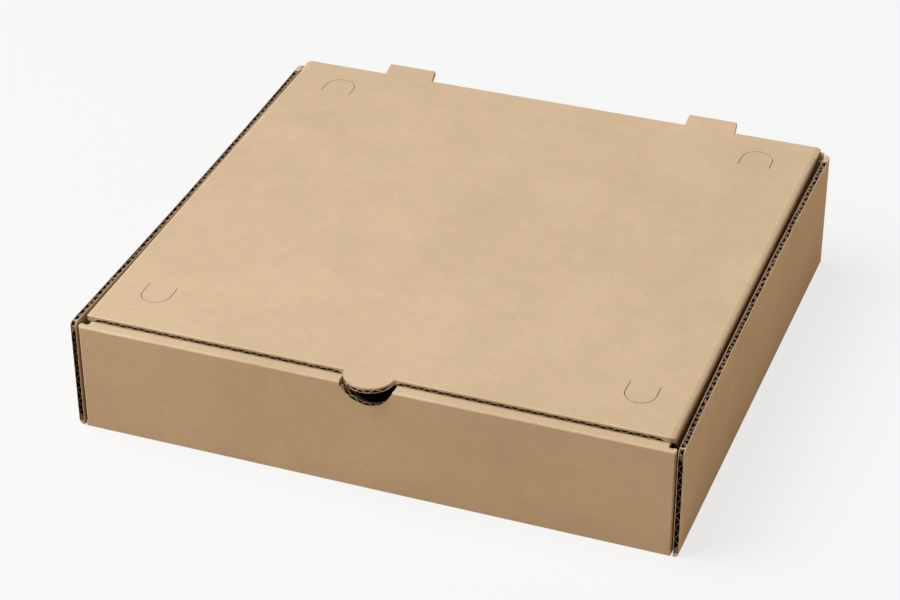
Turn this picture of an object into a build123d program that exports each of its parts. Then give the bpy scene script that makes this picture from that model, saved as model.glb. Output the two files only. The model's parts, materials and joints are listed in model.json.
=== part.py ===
"""Pizza box folded from one sheet of corrugated board, shown closed.

+X runs along the front wall, +Y from front to rear and +Z up. The origin is the
middle of the underside, on the surface that the box stands on. Sizes are in mm.
"""

from build123d import *
import math
import os

# The box as a whole
width = 300.0  # over the outer faces of the two side walls
depth = 273.0  # over the outer faces of the front and rear walls
front_height = 58.0  # top of a side wall at its front edge
rear_height = 64.6  # top of a side wall at its rear fold

# The board and its folds
board = 2.7
fold_radius = 2.7  # outside of a fold
strip_radius = 1.1  # outside of the two tighter folds of the rolled front wall
lid_fold_radius = 1.2  # outside of the lid's side folds
wall_end_radius = 1.3  # outside of the folds at the front wall's ends
wall_corner_radius = 2.4  # top front corners of the side walls

# Front wall: folded over at the top and down again inside
strip_drop = 1.4  # the flat strip lies this far below the side walls' tops
roll_gap = 3.8  # between the outer and the inner front wall
strip_end_clearance = 0.4  # from the lid's folded sides to the ends of the strip
strip_bevel = 3.3  # depth of the slanted cut at each end of the strip
wall_end_gap = 1.2  # between the front or rear wall's ends and the side walls
corner_relief = 3.0  # how far that gap runs back past the front fold
end_flap_length = 60.0
end_flap_step = 8.0  # top of the end flap below the strip, at the fold
flap_gap = 3.0  # between a flap of the lid and a flap of the tray, one above the other
floor_lift = 0.6  # flaps stand this far above the bottom panel

# Locking tongues of the inner front wall, in slots through the bottom panel
slot_from_side = 76.0  # from the side wall's outer face to the slot's middle
slot_length = 36.0
tongue_clearance = 0.8
tongue_lift = 0.3

# Thumb notch, a round hole across the fold of the front wall and through its inner wall
notch_radius = 13.4
notch_setback = 3.4  # middle of the hole, measured back along the strip from the front face
inner_notch_drop = 4.5  # the inner wall's hole is this much lower than the one in the front face

# Rear wall and the flaps of the side walls behind it
rear_flap_length = 40.0
rear_flap_drop = 3.0
hinge_gap = 0.3  # from the rear wall's top to the fold's round bead

# Lid
lid_setback = 6.0  # lid's front edge behind the front face
lid_side_gap = 2.6  # between the lid's folded sides and the side walls
lid_rest_gap = 0.15
lid_corner_radius = 3.0
lid_flap_drop = 25.0
lid_shoulder = 7.5  # from the hinge line to the rear end of the lid's side flaps
thumb_tab_radius = 12.5
thumb_tab_reach = 10.6  # how far the thumb tab stands out of the lid's front edge

# Two tabs cut out of the rear wall, which stay in line with the lid
rear_tab_from_side = 65.0
rear_tab_width = 27.0
rear_tab_taper = 0.6
rear_tab_length = 8.0  # from the hinge line
rear_tab_tilt = 20.0  # degrees above the lid
rear_tab_clearance = 0.8

# Four U-shaped vents cut in the lid, each with a tab that presses in
kerf = 0.4
front_vent_from_side = 29.5
front_vent_width = 14.6
front_vent_length = 14.8
front_vent_root = 35.1  # uncut root, from the lid's front edge
rear_vent_from_side = 33.5
rear_vent_width = 16.2
rear_vent_length = 14.8
rear_vent_root = 28.6  # uncut root, from the hinge line

# Derived places
half = width / 2
y_front = -depth / 2
y_rear = depth / 2
wall_half = half - board - wall_end_gap
roll = 2 * board + roll_gap
strip_top = front_height - strip_drop
lid_half = half - board - lid_side_gap
roll_half = lid_half - board - strip_end_clearance
hinge_y = y_rear - board / 2
hinge_z = rear_height + board / 2
lid_length = depth - board / 2 - lid_setback
slot_x = half - slot_from_side
rear_tab_x = half - rear_tab_from_side
rear_sill = hinge_z - math.hypot(rear_tab_length, board / 2) - rear_tab_clearance
end_flap_low = strip_top - lid_flap_drop - flap_gap

# The lid slopes down to the front until its underside lies just above the strip
lid_reach = math.hypot(lid_length, board / 2)
lid_drop = hinge_z - strip_top - lid_rest_gap
lid_slope = math.asin(lid_drop / lid_reach) - math.atan2(board / 2, lid_length)
lid_place = Pos(0, hinge_y, hinge_z) * Rot(math.degrees(lid_slope), 0, 0)

# Each kind of vent: root along the lid, direction of the tab, width, length
front_vent = (front_vent_root - lid_length, -1, front_vent_width, front_vent_length)
rear_vent = (-rear_vent_root, 1, rear_vent_width, rear_vent_length)
vents = {
    "vent_tab_front_left": (front_vent_from_side - half, *front_vent),
    "vent_tab_front_right": (half - front_vent_from_side, *front_vent),
    "vent_tab_rear_left": (rear_vent_from_side - half, *rear_vent),
    "vent_tab_rear_right": (half - rear_vent_from_side, *rear_vent),
}


def block(x0, x1, y0, y1, z0, z1):
    """A plain block between two corners."""
    centre = Pos((x0 + x1) / 2, (y0 + y1) / 2, (z0 + z1) / 2)
    return centre * Box(abs(x1 - x0), abs(y1 - y0), abs(z1 - z0))


def outline(points, rounded=(), radius=fold_radius):
    """A flat polygon, with the corners named in rounded given a radius."""
    face = Polygon(*points, align=None)
    if not rounded:
        return face
    corners = [min(face.vertices(), key=lambda v: math.dist((v.X, v.Y), p)) for p in rounded]
    return fillet(corners, radius)


def along_x(sketch, x0, x1):
    """A sketch drawn in (y, z), drawn out from x0 to x1."""
    return extrude(Plane.YZ.offset(x0) * sketch, amount=x1 - x0, dir=(1, 0, 0))


def along_y(sketch, y0, y1):
    """A sketch drawn in (x, z), drawn out from y0 to y1."""
    return extrude(Plane.XZ.offset(-y1) * sketch, amount=y1 - y0, dir=(0, -1, 0))


def along_z(sketch, z0, z1):
    """A sketch drawn in (x, y), drawn out from z0 to z1."""
    return extrude(Plane.XY.offset(z0) * sketch, amount=z1 - z0, dir=(0, 0, 1))


def on_both_sides(solid):
    """The solid and its mirror image across the middle of the box."""
    return solid + mirror(solid, about=Plane.YZ)


def bottom_and_side_walls():
    """Bottom panel with a wall folded up at each side, and each wall's rear flap."""
    tall = rear_height + board
    y_flap = y_rear - board
    u_section = outline(
        [
            (-half, 0),
            (half, 0),
            (half, tall),
            (half - board, tall),
            (half - board, board),
            (board - half, board),
            (board - half, tall),
            (-half, tall),
        ],
        rounded=[(-half, 0), (half, 0)],
    )
    footprint = outline(
        [(-half, y_front), (half, y_front), (half, y_flap), (-half, y_flap)],
        rounded=[(half, y_flap), (-half, y_flap)],
    )
    walls = along_y(u_section, y_front, y_flap) & along_z(footprint, 0, tall)
    side = outline(
        [(y_front, 0), (y_flap, 0), (y_flap, rear_height), (y_front, front_height)],
        rounded=[(y_front, front_height)],
        radius=wall_corner_radius,
    )
    walls &= along_x(side, -half, half)
    inner_face = half - board
    flap = block(
        inner_face - rear_flap_length,
        inner_face,
        y_flap - board,
        y_flap,
        board + floor_lift,
        rear_height - rear_flap_drop,
    )
    return walls + on_both_sides(flap)


def front_and_rear_walls():
    """Rear wall, bottom panel and the front wall that rolls over into its inner wall."""
    y_roll = y_front + roll
    rear_top = hinge_z - board / 2 - hinge_gap
    section = outline(
        [
            (y_rear, rear_top),
            (y_rear, 0),
            (y_front, 0),
            (y_front, strip_top),
            (y_roll, strip_top),
            (y_roll, board + tongue_lift),
            (y_roll - board, board + tongue_lift),
            (y_roll - board, strip_top - board),
            (y_front + board, strip_top - board),
            (y_front + board, board),
            (y_rear - board, board),
            (y_rear - board, rear_top),
        ],
        rounded=[(y_rear, 0), (y_front, 0)],
    )
    section = fillet(
        [
            min(section.vertices(), key=lambda v: math.dist((v.X, v.Y), p))
            for p in [(y_front, strip_top), (y_roll, strip_top)]
        ],
        strip_radius,
    )
    walls = along_x(section, -wall_half, wall_half)
    footprint = outline(
        [(-wall_half, y_front), (wall_half, y_front), (wall_half, y_rear), (-wall_half, y_rear)],
        rounded=[(-wall_half, y_front), (wall_half, y_front)],
        radius=wall_end_radius,
    )
    walls &= along_z(footprint, 0, rear_height + board)
    beyond_strip = outline(
        [
            (wall_half + board, y_front + board),
            (wall_half, y_front + board),
            (roll_half, y_front + board + strip_bevel),
            (roll_half, y_roll + board),
            (wall_half + board, y_roll + board),
        ]
    )
    walls -= on_both_sides(along_z(beyond_strip, strip_top - board, strip_top + board))
    beyond_inner_wall = block(
        roll_half, wall_half + board, y_front + board, y_roll + board, board, strip_top - board
    )
    return walls - on_both_sides(beyond_inner_wall)


def front_end_flap():
    """Flap at the right end of the front wall, folded back along the side wall."""
    y_fold = y_front + board
    z_low = board + floor_lift
    z_high = strip_top - end_flap_step
    y_end = y_front + end_flap_length
    side = outline(
        [
            (y_fold, z_low),
            (y_end, z_low),
            (y_end, end_flap_low - fold_radius),
            (y_end - fold_radius, end_flap_low),
            (y_fold + z_high - end_flap_low, end_flap_low),
            (y_fold, z_high),
        ]
    )
    return along_x(side, wall_half - board, wall_half)


def locking_slots(tray):
    """Cuts the two slots in the bottom fold and adds the tongues that stand in them."""
    y_roll = y_front + roll
    x0 = slot_x - slot_length / 2
    x1 = slot_x + slot_length / 2
    square_edge = block(x0, x1, y_front, y_front + board, 0, board)
    slot = block(x0, x1, y_front + board, y_roll + tongue_clearance, -board, board + tongue_lift / 2)
    tongue = block(
        x0 + tongue_clearance,
        x1 - tongue_clearance,
        y_roll - board,
        y_roll,
        tongue_lift,
        2 * board,
    )
    return tray + on_both_sides(square_edge) - on_both_sides(slot) + on_both_sides(tongue)


def thumb_notch():
    """The round hole as it lies on the front face, the strip and the inner wall."""
    y_roll = y_front + roll
    hole = Circle(notch_radius)
    on_face = along_y(Pos(0, strip_top + notch_setback) * hole, y_front - board, y_front + board)
    on_strip = along_z(Pos(0, y_front + notch_setback) * hole, strip_top - board, strip_top + board)
    inner_centre = strip_top + notch_setback - inner_notch_drop
    on_inner = along_y(Pos(0, inner_centre) * hole, y_roll - board, y_roll + board)
    strip_only = block(-half, half, y_front - board, y_roll, strip_top - board, strip_top + board)
    return on_face + (on_strip & strip_only) + on_inner


def make_tray():
    """Bottom, four walls and their flaps: the part of the sheet that stands still."""
    tray = bottom_and_side_walls() + front_and_rear_walls() + on_both_sides(front_end_flap())
    tray = locking_slots(tray)
    tray -= thumb_notch()
    corner_gap = block(
        wall_half,
        half - board,
        y_front - board,
        y_front + board + corner_relief,
        -board,
        rear_height,
    )
    tray -= on_both_sides(corner_gap)
    half_opening = rear_tab_width / 2 + rear_tab_clearance
    rear_opening = block(
        rear_tab_x - half_opening,
        rear_tab_x + half_opening,
        y_rear - 2 * board,
        y_rear + board,
        rear_sill,
        hinge_z + board,
    )
    return tray - on_both_sides(rear_opening)


def vent_outline(vent, grow):
    """U-shaped outline of a vent in the lid's plane, grown or shrunk from its cut line."""
    x, root, direction, vent_width, length = vents[vent]
    radius = vent_width / 2 + grow
    straight = length - vent_width / 2
    shank = Pos(x, root + direction * straight / 2) * Rectangle(2 * radius, straight)
    tip = Pos(x, root + direction * straight) * Circle(radius)
    ahead = Pos(x, root + direction * length) * Rectangle(4 * radius, 2 * length)
    return shank + (tip & ahead)


def lid_panel():
    """Lid with its folded side flaps, drawn level with the hinge line at the origin."""
    top = board / 2
    low = -board / 2 - lid_flap_drop
    inner = lid_half - board
    u_section = outline(
        [
            (-lid_half, low),
            (-inner, low),
            (-inner, -top),
            (inner, -top),
            (inner, low),
            (lid_half, low),
            (lid_half, top),
            (-lid_half, top),
        ],
        rounded=[(lid_half, top), (-lid_half, top)],
        radius=lid_fold_radius,
    )
    footprint = outline(
        [
            (-lid_half, -lid_length),
            (lid_half, -lid_length),
            (lid_half, -lid_shoulder),
            (-lid_half, -lid_shoulder),
        ],
        rounded=[(-lid_half, -lid_length), (lid_half, -lid_length)],
        radius=lid_corner_radius,
    )
    panel = along_y(u_section, -lid_length, -lid_shoulder) & along_z(footprint, low, top)
    flap_front_cut = outline(
        [
            (-lid_length - board, -top),
            (-lid_length + fold_radius, -top),
            (-lid_length + lid_flap_drop, low),
            (-lid_length + lid_flap_drop, low - board),
            (-lid_length - board, low - board),
        ]
    )
    return panel - along_x(flap_front_cut, -half, half)


def rear_tab():
    """Right-hand tab behind the hinge line, tilted up from the lid."""
    x0 = rear_tab_x - rear_tab_width / 2
    x1 = rear_tab_x + rear_tab_width / 2
    face = outline(
        [
            (x0, 0),
            (x1, 0),
            (x1 - rear_tab_taper, rear_tab_length),
            (x0 + rear_tab_taper, rear_tab_length),
        ]
    )
    return Rot(rear_tab_tilt, 0, 0) * along_z(face, -board / 2, board / 2)


def make_lid():
    """Lid, the round bead of its rear fold, the thumb tab and the two rear tabs."""
    top = board / 2
    lid = lid_panel()
    lid += block(-lid_half, lid_half, -lid_shoulder - board, 0, -top, top)
    lid += Rot(0, 90, 0) * Cylinder(board / 2, 2 * lid_half)
    thumb_centre = -lid_length + thumb_tab_radius - thumb_tab_reach
    lid += along_z(Pos(0, thumb_centre) * Circle(thumb_tab_radius), -top, top)
    lid += on_both_sides(rear_tab())
    for vent in vents:
        lid -= along_z(vent_outline(vent, kerf / 2), -board, board)
    return lid_place * lid


def make_vent_tab(vent):
    """Tab left in a U-shaped cut, hinged at its uncut root."""
    return lid_place * along_z(vent_outline(vent, -kerf / 2), -board / 2, board / 2)


os.makedirs("parts", exist_ok=True)
export_step(make_tray(), "parts/tray.step")
export_step(make_lid(), "parts/lid.step")
for name in vents:
    export_step(make_vent_tab(name), f"parts/{name}.step")
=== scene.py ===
"""Kraft pizza box folded from corrugated board, on a pale floor under soft light.

Metres throughout. +X runs along the front wall, +Y from front to rear and +Z up.
The pieces are the frame's own shapes. Here their cut edges get open flutes, and the board
gets the small bends of a folded sheet.
"""

import bpy
import json
import math
import random
from mathutils import Matrix, Vector


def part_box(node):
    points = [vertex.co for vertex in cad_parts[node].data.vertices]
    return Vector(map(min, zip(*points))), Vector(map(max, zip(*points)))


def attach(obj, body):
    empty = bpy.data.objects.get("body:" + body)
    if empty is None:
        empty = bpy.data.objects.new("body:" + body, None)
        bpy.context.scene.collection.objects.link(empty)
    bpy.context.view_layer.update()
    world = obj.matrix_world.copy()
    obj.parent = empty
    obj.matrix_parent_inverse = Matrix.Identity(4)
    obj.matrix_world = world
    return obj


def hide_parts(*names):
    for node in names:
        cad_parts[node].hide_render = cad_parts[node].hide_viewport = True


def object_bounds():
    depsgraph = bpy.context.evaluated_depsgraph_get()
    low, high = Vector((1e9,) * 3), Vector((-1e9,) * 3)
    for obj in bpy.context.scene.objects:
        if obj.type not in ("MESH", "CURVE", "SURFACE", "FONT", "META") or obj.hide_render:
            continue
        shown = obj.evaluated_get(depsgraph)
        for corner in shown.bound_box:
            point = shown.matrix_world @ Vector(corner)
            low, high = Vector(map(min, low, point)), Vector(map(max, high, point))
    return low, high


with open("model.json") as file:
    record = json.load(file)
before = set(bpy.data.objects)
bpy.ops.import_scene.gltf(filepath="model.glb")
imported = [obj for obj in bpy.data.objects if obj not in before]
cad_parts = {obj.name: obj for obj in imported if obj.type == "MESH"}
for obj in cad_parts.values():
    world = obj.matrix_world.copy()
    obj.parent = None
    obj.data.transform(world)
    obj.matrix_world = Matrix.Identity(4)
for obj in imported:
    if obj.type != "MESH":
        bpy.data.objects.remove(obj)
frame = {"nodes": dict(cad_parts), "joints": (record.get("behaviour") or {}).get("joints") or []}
cad_low, cad_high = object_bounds()

scene = bpy.context.scene
rng = random.Random(7)

# ------------------------------------------------------------------ places from the frame

tray_low, tray_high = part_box("tray")
joints = {joint["name"]: joint for joint in frame["joints"]}
hinge = Vector(joints["lid_fold"]["pos_m"])
front_root = Vector(joints["vent_front_left_fold"]["pos_m"])
rear_root = Vector(joints["vent_rear_left_fold"]["pos_m"])
lid_slope = math.atan2(rear_root.z - front_root.z, rear_root.y - front_root.y)
lid_frame = Matrix.Translation(hinge) @ Matrix.Rotation(lid_slope, 4, "X")

half_width = tray_high.x
front_face = tray_low.y
rear_face = tray_high.y

# ------------------------------------------------------------------ sizes of the box

board = 0.0027
lid_length = 0.26565
lid_half = 0.1447
lid_offset = -0.0006  # the lid sits a little to the left, so the right-hand gap is wider
thumb_radius = 0.0125  # of the lid's thumb tab
thumb_reach = 0.0106  # of the thumb tab in front of the lid
notch_radius = 0.0134
notch_setback = 0.0034  # of the notch's centre above the strip
inner_notch_drop = 0.0045
strip_top = 0.0566  # the narrow strip on top of the rolled front wall
roll = 0.0092  # from the front face to the back of the inner wall
wall_front_top = 0.058
wall_rear_top = tray_high.z
wall_corner_radius = 0.0024
corner_sag = wall_corner_radius * (1 - math.sqrt(0.5))

# ------------------------------------------------------------------ sizes of the board's flutes

flute_pitch = 0.0064
cell_width = 0.0057
cell_height = 0.0022
cell_depth = 0.007
cell_shift = 0.00003  # keeps cells that point up and cells that point down apart
core = 0.0022  # between the two liners
lid_cell_height = 0.00145  # the lid's front edge is pressed flatter
lid_cell_across = -0.00036
lid_end_margin = 0.004
thumb_cell_width = 0.0048
notch_cell = (0.0049, 0.0019, 0.006)  # width, height, depth
cells_round_arc = 3  # on each side of its middle

edge_flutes = (0.0020, 0.0562)  # where the flutes start and end, up a side wall's front edge
edge_groove = (0.0290, 0.0535, 0.0006)  # middle, length and height of the box that sinks it
top_groove = (0.1330, 0.2600, 0.0007)
corner_groove = (0.0, 0.0042, 0.0010)
corner_cell = (0.0030, 0.0017)  # width, height
torn_flutes = (0.0026, 0.262)  # along a side wall's top edge
torn_length = (0.0024, 0.0052)
torn_width = (0.0016, 0.0021)
torn_wander = 0.0002
torn_gap = (0.0001, 0.0005)
torn_depth = 0.004

# ------------------------------------------------------------------ bends of the board

side_crease = lid_half - 0.0024
side_drop = 0.0008  # of the lid beyond that crease
fold_start = 0.0002  # above the middle of the board
side_edge = lid_half - 0.0004
flap_lean = 0.20  # inwards, for each metre down
front_highlight_band = 0.0011  # width of the pale band along the lid's front edge, a painted highlight on the pressed liner
root_gap = 0.00005
hollow_radius = 0.0017
hollow_x = 0.1435
hollow_y = 0.0044  # behind the front face
hollow_height = 0.012
hollow_middle = 0.004  # below the top of the strip
wall_bow = 0.0011
bow_step = 0.0195
bow_creases = 6  # on each side of the middle
close = 0.0001


# ------------------------------------------------------------------ materials


def new_node(tree, kind, place, **settings):
    """A shader node with its settings."""
    node = tree.nodes.new(kind)
    node.location = place
    for key, value in settings.items():
        setattr(node, key, value)
    return node


def noise(tree, vector, place, scale, detail=2.0):
    """Noise on the piece's own coordinates."""
    node = new_node(tree, "ShaderNodeTexNoise", place)
    node.inputs["Scale"].default_value = scale
    node.inputs["Detail"].default_value = detail
    tree.links.new(vector, node.inputs["Vector"])
    return node.outputs["Fac"]


def spread(tree, value, place, low, high, out_low, out_high):
    """The part of a noise from low to high, spread over out_low to out_high."""
    node = new_node(tree, "ShaderNodeMapRange", place)
    node.inputs["From Min"].default_value = low
    node.inputs["From Max"].default_value = high
    node.inputs["To Min"].default_value = out_low
    node.inputs["To Max"].default_value = out_high
    tree.links.new(value, node.inputs["Value"])
    return node.outputs["Result"]


def stretched(tree, vector, place, scale, turn=0.0):
    """Coordinates stretched along one direction, for long fibres."""
    node = new_node(tree, "ShaderNodeMapping", place)
    node.inputs["Scale"].default_value = scale
    node.inputs["Rotation"].default_value = (turn, turn, turn)
    tree.links.new(vector, node.inputs["Vector"])
    return node.outputs["Vector"]


def shaded(tree, colour, factor, place):
    """The colour multiplied by a grey factor."""
    node = new_node(tree, "ShaderNodeMix", place, data_type="RGBA", blend_type="MULTIPLY")
    node.inputs["Factor"].default_value = 1
    tree.links.new(colour, node.inputs["A"])
    tree.links.new(factor, node.inputs["B"])
    return node.outputs["Result"]


def kraft_board(name, light, dark, roughness=0.8, contrast=1.0):
    """Brown kraft liner: clouds, mottling, long fibres both ways, pale and dark flecks."""
    material = bpy.data.materials.new(name)
    material.use_nodes = True
    tree = material.node_tree
    shader = tree.nodes["Principled BSDF"]
    place = new_node(tree, "ShaderNodeTexCoord", (-1500, 0)).outputs["Object"]

    clouds = noise(tree, place, (-1250, 400), 24, 4)
    tone = new_node(tree, "ShaderNodeValToRGB", (-1000, 400))
    tone.color_ramp.elements[0].position = 0.32
    tone.color_ramp.elements[0].color = (*dark, 1)
    tone.color_ramp.elements[1].position = 0.70
    tone.color_ramp.elements[1].color = (*light, 1)
    tree.links.new(clouds, tone.inputs["Fac"])
    colour = tone.outputs["Color"]

    def layer(value, row, low, high, out_low, out_high):
        nonlocal colour
        out_low = 1 + (out_low - 1) * contrast
        out_high = 1 + (out_high - 1) * contrast
        factor = spread(tree, value, (-750, row), low, high, out_low, out_high)
        colour = shaded(tree, colour, factor, (-500, row))

    mottling = noise(tree, place, (-1250, 150), 120, 5)
    layer(mottling, 150, 0.3, 0.7, 0.975, 1.025)
    along = stretched(tree, place, (-1450, -150), (1.0, 0.4, 0.8), 0.3)
    along_fibres = noise(tree, along, (-1250, -150), 1700, 4)
    layer(along_fibres, -100, 0.3, 0.7, 0.970, 1.030)
    across = stretched(tree, place, (-1450, -400), (0.35, 1.0, 0.7), -0.5)
    across_fibres = noise(tree, across, (-1250, -400), 700, 3)
    layer(across_fibres, -350, 0.3, 0.7, 0.985, 1.015)
    flecks = noise(tree, place, (-1250, -650), 760, 1)
    layer(flecks, -600, 0.69, 0.75, 1.0, 0.82)
    pale = stretched(tree, place, (-1450, -900), (0.35, 1.0, 1.0), 0.6)
    pale_flecks = noise(tree, pale, (-1250, -900), 1100, 1)
    layer(pale_flecks, -850, 0.70, 0.76, 1.0, 1.12)
    tree.links.new(colour, shader.inputs["Base Color"])

    bump = new_node(tree, "ShaderNodeBump", (-250, -300))
    bump.inputs["Strength"].default_value = 0.12
    bump.inputs["Distance"].default_value = 0.0002
    tree.links.new(along_fibres, bump.inputs["Height"])
    tree.links.new(bump.outputs["Normal"], shader.inputs["Normal"])
    shader.inputs["Roughness"].default_value = roughness
    shader.inputs["Specular IOR Level"].default_value = 0.3
    return material


kraft = kraft_board("kraft_liner", light=(0.640, 0.475, 0.311), dark=(0.592, 0.436, 0.282))
# Paler kraft with stronger mottling: a painted highlight on the rounded folds and along the lid's
# front edge.
painted_highlight_kraft = kraft_board(
    "painted_highlight_kraft", light=(0.72, 0.56, 0.395), dark=(0.62, 0.465, 0.31), contrast=2.2
)
# Dark brown for the sunken core of the cut edges: painted shade in the groove.
torn_ply_painted_shade = kraft_board(
    "torn_ply_painted_shade", light=(0.25, 0.155, 0.10), dark=(0.13, 0.08, 0.05), contrast=2.0
)
# Near-black kraft: painted shade inside the open flutes, round the thumb notch and in the strip's
# hollows.
painted_shade_flute = kraft_board(
    "painted_shade_flute", light=(0.075, 0.04, 0.026), dark=(0.03, 0.014, 0.01), roughness=0.9
)
board_materials = (kraft, painted_shade_flute, painted_highlight_kraft, torn_ply_painted_shade)


# ------------------------------------------------------------------ tools for the board


def only(piece):
    """Select this piece alone."""
    bpy.ops.object.select_all(action="DESELECT")
    piece.select_set(True)
    bpy.context.view_layer.objects.active = piece


def board_copy(node, name):
    """The node's own shape as a new piece, its loose triangles merged into one skin."""
    piece = bpy.data.objects.new(name, frame["nodes"][node].data.copy())
    scene.collection.objects.link(piece)
    only(piece)
    bpy.ops.object.mode_set(mode="EDIT")
    bpy.ops.mesh.select_all(action="SELECT")
    bpy.ops.mesh.remove_doubles(threshold=0.000002)
    bpy.ops.mesh.customdata_custom_splitnormals_clear()
    bpy.ops.mesh.dissolve_limited(angle_limit=math.radians(0.3))
    bpy.ops.object.mode_set(mode="OBJECT")
    piece.data.materials.clear()
    for material in board_materials:
        piece.data.materials.append(material)
    return piece


def crease(piece, point, direction):
    """A row of new points right across the piece, where it can bend."""
    only(piece)
    bpy.ops.object.mode_set(mode="EDIT")
    bpy.ops.mesh.select_all(action="SELECT")
    bpy.ops.mesh.bisect(plane_co=point, plane_no=direction)
    bpy.ops.object.mode_set(mode="OBJECT")


def flute_cell():
    """The hollow between the wavy inner ply and a liner: a prism 1 m each way, point up."""
    bpy.ops.object.select_all(action="DESELECT")
    bpy.ops.mesh.primitive_cylinder_add(vertices=3, radius=1, depth=1, location=(0, 0, 0))
    cell = bpy.context.object
    # The cell's walls are near-black: painted shade inside the flute.
    cell.data.materials.append(painted_shade_flute)
    bpy.ops.object.mode_set(mode="EDIT")
    bpy.ops.mesh.select_all(action="SELECT")
    bpy.ops.transform.rotate(value=math.pi / 2, orient_axis="X", center_override=(0, 0, 0))
    bpy.ops.object.mode_set(mode="OBJECT")
    points = [v.co.copy() for v in cell.data.vertices]
    low = Vector([min(p[i] for p in points) for i in range(3)])
    high = Vector([max(p[i] for p in points) for i in range(3)])
    points_down = sum(p.z > (low.z + high.z) / 2 for p in points) > len(points) / 2
    cell.data.transform(Matrix.Translation(-(low + high) / 2))
    turn = -1 if points_down else 1
    size = high - low
    cell.data.transform(Matrix.Diagonal((1 / size.x, turn / size.y, turn / size.z, 1)))
    return cell


def cut_with(piece, cutter):
    """Takes the cutter out of the piece; the new faces keep the cutter's material."""
    only(piece)
    cut = piece.modifiers.new("cells", "BOOLEAN")
    cut.operation = "DIFFERENCE"
    cut.solver = "EXACT"
    cut.object = cutter
    cut.material_mode = "TRANSFER"
    bpy.ops.object.modifier_apply(modifier=cut.name)
    bpy.data.objects.remove(cutter)


def cut_cells(piece, places):
    """Cuts one hollow into the piece at each place."""
    cell = flute_cell()
    copies = []
    for place in places:
        copy = bpy.data.objects.new("cell", cell.data.copy())
        scene.collection.objects.link(copy)
        copy.data.transform(place)
        if place.determinant() < 0:
            copy.data.flip_normals()
        copies.append(copy)
    bpy.data.objects.remove(cell)
    bpy.ops.object.select_all(action="DESELECT")
    for copy in copies:
        copy.select_set(True)
    bpy.context.view_layer.objects.active = copies[0]
    bpy.ops.object.join()
    cut_with(piece, copies[0])


def sink_core(piece, grooves):
    """Sinks the soft middle of a cut edge below its two liners, one box for each groove."""
    cutters = []
    bpy.ops.object.select_all(action="DESELECT")
    for groove in grooves:
        bpy.ops.mesh.primitive_cube_add(size=1, location=(0, 0, 0))
        cutter = bpy.context.object
        # The groove's faces are dark brown: painted shade in the sunken core.
        cutter.data.materials.append(torn_ply_painted_shade)
        cutter.data.transform(groove)
        if groove.determinant() < 0:
            cutter.data.flip_normals()
        cutters.append(cutter)
    for cutter in cutters:
        cutter.select_set(True)
    bpy.ops.object.join()
    cut_with(piece, bpy.context.object)


def cell_place(edge, along, across, width, height, depth, point_up=True):
    """Where one cell goes. An edge has X along it, Y into the board and Z through the board."""
    turn = 1 if point_up else -1
    return (
        edge
        @ Matrix.Translation((along, 0, across))
        @ Matrix.Diagonal((width, 2 * depth, turn * height, 1))
    )


def row_of_cells(edge, start, end, height=cell_height, across=0.0):
    """Open flutes along a straight cut edge: cells point up and down in turn."""
    count = int((end - start) / flute_pitch)
    margin = (end - start - count * flute_pitch) / 2
    places = []
    for i in range(count):
        s = start + margin + (i + 0.5) * flute_pitch
        width = cell_width * rng.uniform(0.93, 1.02)
        places.append(cell_place(edge, s, across - cell_shift, width, height, cell_depth))
        if i < count - 1:
            s += flute_pitch / 2
            width = cell_width * rng.uniform(0.9, 1.0)
            places.append(
                cell_place(edge, s, across + cell_shift, width, height, cell_depth, False)
            )
    return places


def torn_cells(edge):
    """Torn hollows along an edge cut along the flutes: long and uneven."""
    places = []
    s, end = torn_flutes
    while s < end:
        length = rng.uniform(*torn_length)
        width = rng.uniform(*torn_width)
        across = rng.uniform(-torn_wander, torn_wander)
        up = rng.random() < 0.5
        places.append(cell_place(edge, s + length / 2, across, length, width, torn_depth, up))
        s += length + rng.uniform(*torn_gap)
    return places


def groove_place(edge, middle, length, height):
    """Where the box goes that sinks the core along this stretch of an edge."""
    return edge @ Matrix.Translation((middle, 0, 0)) @ Matrix.Diagonal((length, height, core, 1))


# ------------------------------------------------------------------ lid


def bend_lid(lid):
    """Presses the lid down beyond a crease along each side and leans its side flaps inwards."""
    for u in (side_crease, side_edge):
        for side in (-1, 1):
            crease(lid, (side * u, 0, 0), (1, 0, 0))
    # A crease at the back of the front band, which gets a painted highlight.
    highlight_band_start = lid_frame @ Vector((0, front_highlight_band - lid_length, 0))
    crease(lid, highlight_band_start, lid_frame.to_3x3() @ Vector((0, 1, 0)))
    for side in (-1, 1):
        crease(lid, (side * thumb_radius, 0, 0), (1, 0, 0))
    for point in lid.data.vertices:
        local = to_lid @ point.co
        past_crease = (abs(local.x) - side_crease) / (lid_half - side_crease)
        local.z -= side_drop * min(max(past_crease, 0), 1)
        below = max(fold_start - side_drop - local.z, 0)
        if abs(local.x) > side_crease:
            local.x -= math.copysign(flap_lean * below, local.x)
        point.co = lid_frame @ local


def open_lid_flutes(lid):
    """Open flutes along the lid's front edge and round its thumb tab."""
    front_edge = lid_frame @ Matrix.Translation((0, -lid_length, 0))
    end = lid_half - lid_end_margin
    places = row_of_cells(front_edge, -end, -thumb_radius, lid_cell_height, lid_cell_across)
    places += row_of_cells(front_edge, thumb_radius, end, lid_cell_height, lid_cell_across)
    for i in range(-cells_round_arc, cells_round_arc + 1):
        s = i * flute_pitch / 2
        bulge = math.sqrt(thumb_radius**2 - s * s) - (thumb_radius - thumb_reach)
        arc = front_edge @ Matrix.Translation((0, -bulge, 0))
        size = (thumb_cell_width, lid_cell_height, cell_depth)
        places.append(cell_place(arc, s, lid_cell_across, *size, i % 2 == 0))
    cut_cells(lid, places)


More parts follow.
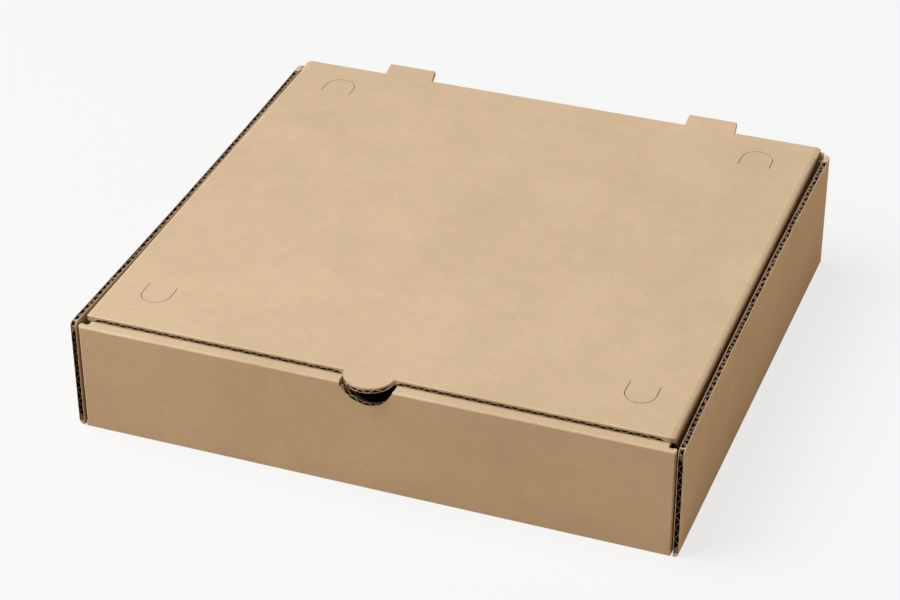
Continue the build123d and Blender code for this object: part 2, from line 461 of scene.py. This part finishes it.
def highlight_edge_and_sharpen_creases(lid):
    """Paints a highlight on the lid's front edge in paler kraft and makes its side creases crisp.
    """
    for face in lid.data.polygons:
        behind = [(to_lid @ lid.data.vertices[i].co).y + lid_length for i in face.vertices]
        in_highlight_band = max(behind) < front_highlight_band + close and min(behind) > -2 * close
        if face.normal.z > 0.9 and in_highlight_band:
            face.material_index = board_materials.index(painted_highlight_kraft)
    for edge in lid.data.edges:
        ends = [abs(lid.data.vertices[i].co.x - lid_offset) for i in edge.vertices]
        if all(abs(end - side_crease) < close for end in ends):
            edge.use_edge_sharp = True


to_lid = lid_frame.inverted()
lid = board_copy("lid", "hinged_lid")
bend_lid(lid)
open_lid_flutes(lid)

# ------------------------------------------------------------------ tray


def side_wall_edges(side):
    """The front, top and corner edges of one side wall."""
    middle = side * (half_width - board / 2)
    rise = wall_rear_top - wall_front_top
    slope = math.atan2(rise, rear_face - board - front_face)
    lying = Matrix(((0, 0, -side, 0), (1, 0, 0, 0), (0, -1, 0, 0), (0, 0, 0, 1)))
    front = Matrix(((0, 0, side, middle), (0, 1, 0, front_face), (1, 0, 0, 0), (0, 0, 0, 1)))
    start = Matrix.Translation((middle, front_face, wall_front_top))
    top = start @ Matrix.Rotation(slope, 4, "X") @ lying
    sagged = (middle, front_face + corner_sag, wall_front_top - corner_sag)
    corner = Matrix.Translation(sagged) @ Matrix.Rotation(math.radians(45), 4, "X") @ lying
    return front, top, corner


def notch_cells():
    """Open flutes round the thumb hole in the front face and round the one behind it."""
    places = []
    centre_z = strip_top + notch_setback
    for wall_y, wall_z in (
        (front_face + board / 2, centre_z),
        (front_face + roll - board / 2, centre_z - inner_notch_drop),
    ):
        for i in range(-cells_round_arc, cells_round_arc + 1):
            s = i * flute_pitch / 2
            edge_z = wall_z - math.sqrt(notch_radius**2 - s * s)
            down = Matrix(((1, 0, 0, 0), (0, 0, 1, wall_y), (0, -1, 0, edge_z), (0, 0, 0, 1)))
            places.append(cell_place(down, s, 0, *notch_cell, i % 2 == 0))
    return places


def open_tray_flutes(tray):
    """Sunken core and open flutes along the side walls' cut edges and round the thumb notch."""
    places = []
    grooves = []
    for side in (-1, 1):
        front, top, corner = side_wall_edges(side)
        places += row_of_cells(front, *edge_flutes)
        grooves.append(groove_place(front, *edge_groove))
        grooves.append(groove_place(top, *top_groove))
        grooves.append(groove_place(corner, *corner_groove))
        places.append(cell_place(corner, 0, 0, *corner_cell, torn_depth))
        places += torn_cells(top)
    places += notch_cells()
    sink_core(tray, grooves)
    cut_cells(tray, places)


def cut_strip_hollow(tray, side):
    """Hollow at one end of the strip, where the sheet turns three ways."""
    bpy.ops.object.select_all(action="DESELECT")
    bpy.ops.mesh.primitive_cylinder_add(
        vertices=20,
        radius=hollow_radius,
        depth=hollow_height,
        location=(side * hollow_x, front_face + hollow_y, strip_top - hollow_middle),
    )
    hollow = bpy.context.object
    bpy.ops.object.transform_apply(location=True, rotation=True, scale=True)
    # The hollow's walls are near-black: painted shade inside it.
    hollow.data.materials.append(painted_shade_flute)
    cut_with(tray, hollow)


def bow_side_walls(tray):
    """Bows the side walls in a little, most of all half way along their tops."""
    for point in tray.data.vertices:
        if abs(point.co.x) > half_width - board - 4 * close:
            up = min(max(point.co.z, 0) / wall_front_top, 1)
            bow = wall_bow * (1 - (point.co.y / rear_face) ** 2) * up
            point.co.x -= math.copysign(bow, point.co.x)


def paint_fold_highlights(tray):
    """Paints the outside of each rounded fold in paler, more mottled kraft: a painted highlight
    along the fold, on the stretched, scuffed liner.
    """
    for face in tray.data.polygons:
        size = sorted(abs(c) for c in face.normal)
        leans = size[1] > 0.2 and face.area < 0.0012
        if leans and face.material_index == board_materials.index(kraft):
            face.material_index = board_materials.index(painted_highlight_kraft)


tray = board_copy("tray", "folded_tray")
for i in range(-bow_creases, bow_creases + 1):
    crease(tray, (0, i * bow_step, 0), (0, 1, 0))
open_tray_flutes(tray)
for side in (-1, 1):
    cut_strip_hollow(tray, side)
bow_side_walls(tray)
paint_fold_highlights(tray)

# ------------------------------------------------------------------ vent tabs

vent_tabs = []
for row, towards_tip in (("front", -root_gap), ("rear", root_gap)):
    for side in ("left", "right"):
        node = f"vent_tab_{row}_{side}"
        tab = board_copy(node, node + "_board")
        # The root stays a hair off the lid, so it clears it when the tab is pressed in
        tab.data.transform(Matrix.Translation((0, towards_tip, 0)))
        vent_tabs.append((tab, node, f"vent_{row}_{side}"))

# ------------------------------------------------------------------ seats and bodies

for piece, node, body in [(tray, "tray", "tray"), (lid, "lid", "lid"), *vent_tabs]:
    if piece is not tray:
        piece.data.transform(Matrix.Translation((lid_offset, 0, 0)))
    only(piece)
    bpy.ops.object.shade_smooth_by_angle(angle=math.radians(35))
    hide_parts(node)
    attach(piece, body)
highlight_edge_and_sharpen_creases(lid)

# ------------------------------------------------------------------ floor

bpy.ops.object.select_all(action="DESELECT")
bpy.ops.mesh.primitive_plane_add(size=8, location=(0, 0, cad_low.z))
floor = bpy.context.object
floor.name = "floor"
floor_material = bpy.data.materials.new("pale_floor")
floor_material.use_nodes = True
tree = floor_material.node_tree
shader = tree.nodes["Principled BSDF"]
shader.inputs["Roughness"].default_value = 0.9
shader.inputs["Specular IOR Level"].default_value = 0.1
ray = new_node(tree, "ShaderNodeLightPath", (-700, 0))
seen = new_node(tree, "ShaderNodeMath", (-500, 0), operation="MAXIMUM")
tree.links.new(ray.outputs["Is Camera Ray"], seen.inputs[0])
tree.links.new(ray.outputs["Is Glossy Ray"], seen.inputs[1])
floor_tone = new_node(tree, "ShaderNodeMix", (-300, 0), data_type="RGBA")
floor_tone.inputs["A"].default_value = (0.62, 0.495, 0.34, 1)
floor_tone.inputs["B"].default_value = (0.16, 0.16, 0.16, 1)
tree.links.new(seen.outputs["Value"], floor_tone.inputs["Factor"])
tree.links.new(floor_tone.outputs["Result"], shader.inputs["Base Color"])
glow = new_node(tree, "ShaderNodeMath", (-300, -250), operation="MULTIPLY")
glow.inputs[1].default_value = 0.76
tree.links.new(seen.outputs["Value"], glow.inputs[0])
shader.inputs["Emission Color"].default_value = (1, 1, 1, 1)
tree.links.new(glow.outputs["Value"], shader.inputs["Emission Strength"])
floor.data.materials.append(floor_material)

# ------------------------------------------------------------------ light

world = bpy.data.worlds.new("studio")
scene.world = world
world.use_nodes = True
background = world.node_tree.nodes["Background"]
background.inputs["Color"].default_value = (1, 1, 1, 1)
background.inputs["Strength"].default_value = 0.16


def soft_sun(name, towards, strength, width, colour=(1, 1, 1)):
    """A wide, even light from far away, shining in the direction given."""
    bpy.ops.object.light_add(type="SUN", location=(0, 0, 1))
    lamp = bpy.context.object
    lamp.name = name
    lamp.data.energy = strength
    lamp.data.angle = math.radians(width)
    lamp.data.color = colour
    lamp.rotation_euler = Vector(towards).to_track_quat("-Z", "Y").to_euler()


soft_sun("left_light", (0.55, 0.08, -1), 2.2, 45)
soft_sun("right_light", (-1.0, 0.0, -0.35), 0.56, 50, (1.0, 0.75, 0.48))
bpy.ops.object.light_add(type="AREA", location=(-0.75, -0.60, 1.10))
near_light = bpy.context.object
near_light.name = "near_light"
near_light.data.energy = 7.5
near_light.data.size = 0.9
near_light.rotation_euler = Vector((0.75, 0.60, -1.05)).to_track_quat("-Z", "Y").to_euler()

# ------------------------------------------------------------------ camera

camera_turn = math.radians(-20.786)
camera_dip = math.radians(32.252)
camera_roll = math.radians(-0.212)
aim = Vector((0.009919, -0.019132, 1.282040))  # the origin as the camera sees it: right, up, ahead
half_view_width = 450
view_distance = 2525.604

ahead = Vector(
    (
        math.sin(camera_turn) * math.cos(camera_dip),
        math.cos(camera_turn) * math.cos(camera_dip),
        -math.sin(camera_dip),
    )
)
level_right = Vector((math.cos(camera_turn), -math.sin(camera_turn), 0))
level_up = level_right.cross(ahead)
right = math.cos(camera_roll) * level_right + math.sin(camera_roll) * level_up
up = math.cos(camera_roll) * level_up - math.sin(camera_roll) * level_right
stand = -(aim.x * right + aim.y * up + aim.z * ahead)
bpy.ops.object.camera_add()
camera = bpy.context.object
camera.name = "camera"
camera.matrix_world = Matrix(
    (
        (right.x, up.x, -ahead.x, stand.x),
        (right.y, up.y, -ahead.y, stand.y),
        (right.z, up.z, -ahead.z, stand.z),
        (0, 0, 0, 1),
    )
)
camera.data.angle = 2 * math.atan(half_view_width / view_distance)
scene.camera = camera
scene.view_settings.view_transform = "Standard"
